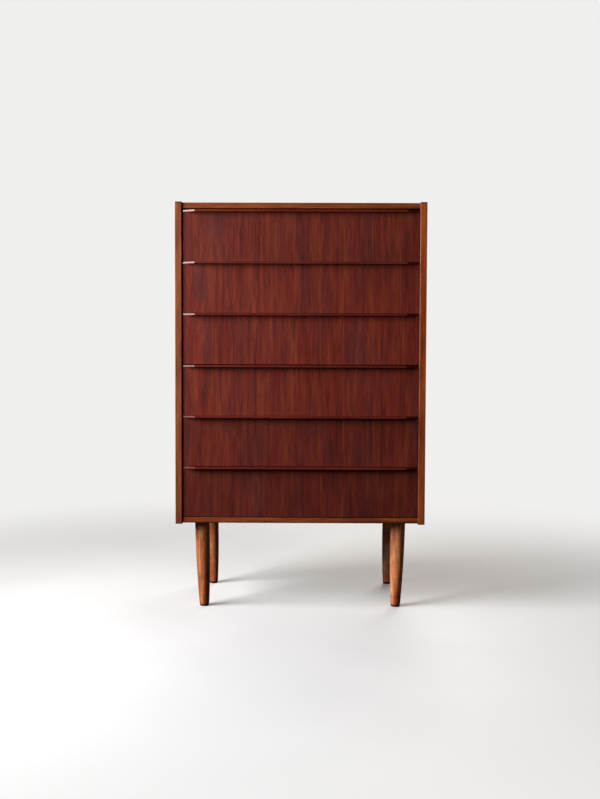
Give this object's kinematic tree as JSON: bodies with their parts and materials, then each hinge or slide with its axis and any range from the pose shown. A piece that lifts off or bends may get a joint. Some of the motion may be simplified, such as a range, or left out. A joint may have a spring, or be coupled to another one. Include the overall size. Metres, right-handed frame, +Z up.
{
  "type": "chest of drawers",
  "caption": "Tall narrow chest of teak drawers with full-width lip handles, plain side panels and round tapered legs.",
  "frame": {"origin": "on the floor under the middle of the chest's overall box, lip handles included", "axes": "+Z up, -Y towards the drawer fronts, -X to the left as seen from the front"},
  "size_m": [0.72, 0.4104, 1.177],
  "materials": {
    "teak_veneer": "oiled reddish-brown teak veneer with a dark vertical grain, soft satin sheen",
    "teak_solid": "oiled solid teak, satin, a little lighter on the edges",
    "stained_beech": "turned beech stained warm orange-brown, satin lacquer",
    "beech": "plain beech drawer sides and backs, planed, nearly matt",
    "runner_beech": "planed hardwood strip, waxed by use",
    "plywood": "thin sanded birch plywood, matt",
    "hardboard": "thin brown stained backing board, matt"
  },
  "bodies": {
    "root": {"side_panel_left": "teak_veneer", "side_panel_right": "teak_veneer", "top_panel": "teak_veneer", "bottom_panel": "teak_veneer", "back_panel": "hardboard", "leg_front_left": "stained_beech", "leg_front_right": "stained_beech", "leg_rear_left": "stained_beech", "leg_rear_right": "stained_beech", "runner_left_1": "runner_beech", "runner_left_2": "runner_beech", "runner_left_3": "runner_beech", "runner_left_4": "runner_beech", "runner_left_5": "runner_beech", "runner_left_6": "runner_beech", "runner_right_1": "runner_beech", "runner_right_2": "runner_beech", "runner_right_3": "runner_beech", "runner_right_4": "runner_beech", "runner_right_5": "runner_beech", "runner_right_6": "runner_beech"},
    "drawer_1": {"drawer_1_front": "teak_veneer", "drawer_1_lip_handle": "teak_solid", "drawer_1_side_left": "beech", "drawer_1_side_right": "beech", "drawer_1_back": "beech", "drawer_1_bottom": "plywood"},
    "drawer_2": {"drawer_2_front": "teak_veneer", "drawer_2_lip_handle": "teak_solid", "drawer_2_side_left": "beech", "drawer_2_side_right": "beech", "drawer_2_back": "beech", "drawer_2_bottom": "plywood"},
    "drawer_3": {"drawer_3_front": "teak_veneer", "drawer_3_lip_handle": "teak_solid", "drawer_3_side_left": "beech", "drawer_3_side_right": "beech", "drawer_3_back": "beech", "drawer_3_bottom": "plywood"},
    "drawer_4": {"drawer_4_front": "teak_veneer", "drawer_4_lip_handle": "teak_solid", "drawer_4_side_left": "beech", "drawer_4_side_right": "beech", "drawer_4_back": "beech", "drawer_4_bottom": "plywood"},
    "drawer_5": {"drawer_5_front": "teak_veneer", "drawer_5_lip_handle": "teak_solid", "drawer_5_side_left": "beech", "drawer_5_side_right": "beech", "drawer_5_back": "beech", "drawer_5_bottom": "plywood"},
    "drawer_6": {"drawer_6_front": "teak_veneer", "drawer_6_lip_handle": "teak_solid", "drawer_6_side_left": "beech", "drawer_6_side_right": "beech", "drawer_6_back": "beech", "drawer_6_bottom": "plywood"}
  },
  "joints": [
    {"name": "drawer_1_slide", "type": "slide", "parent": "root", "child": "drawer_1", "axis": [0, -1, 0], "range_m": [0, 0.28]},
    {"name": "drawer_2_slide", "type": "slide", "parent": "root", "child": "drawer_2", "axis": [0, -1, 0], "range_m": [0, 0.28]},
    {"name": "drawer_3_slide", "type": "slide", "parent": "root", "child": "drawer_3", "axis": [0, -1, 0], "range_m": [0, 0.28]},
    {"name": "drawer_4_slide", "type": "slide", "parent": "root", "child": "drawer_4", "axis": [0, -1, 0], "range_m": [0, 0.28]},
    {"name": "drawer_5_slide", "type": "slide", "parent": "root", "child": "drawer_5", "axis": [0, -1, 0], "range_m": [0, 0.28]},
    {"name": "drawer_6_slide", "type": "slide", "parent": "root", "child": "drawer_6", "axis": [0, -1, 0], "range_m": [0, 0.28]}
  ]
}
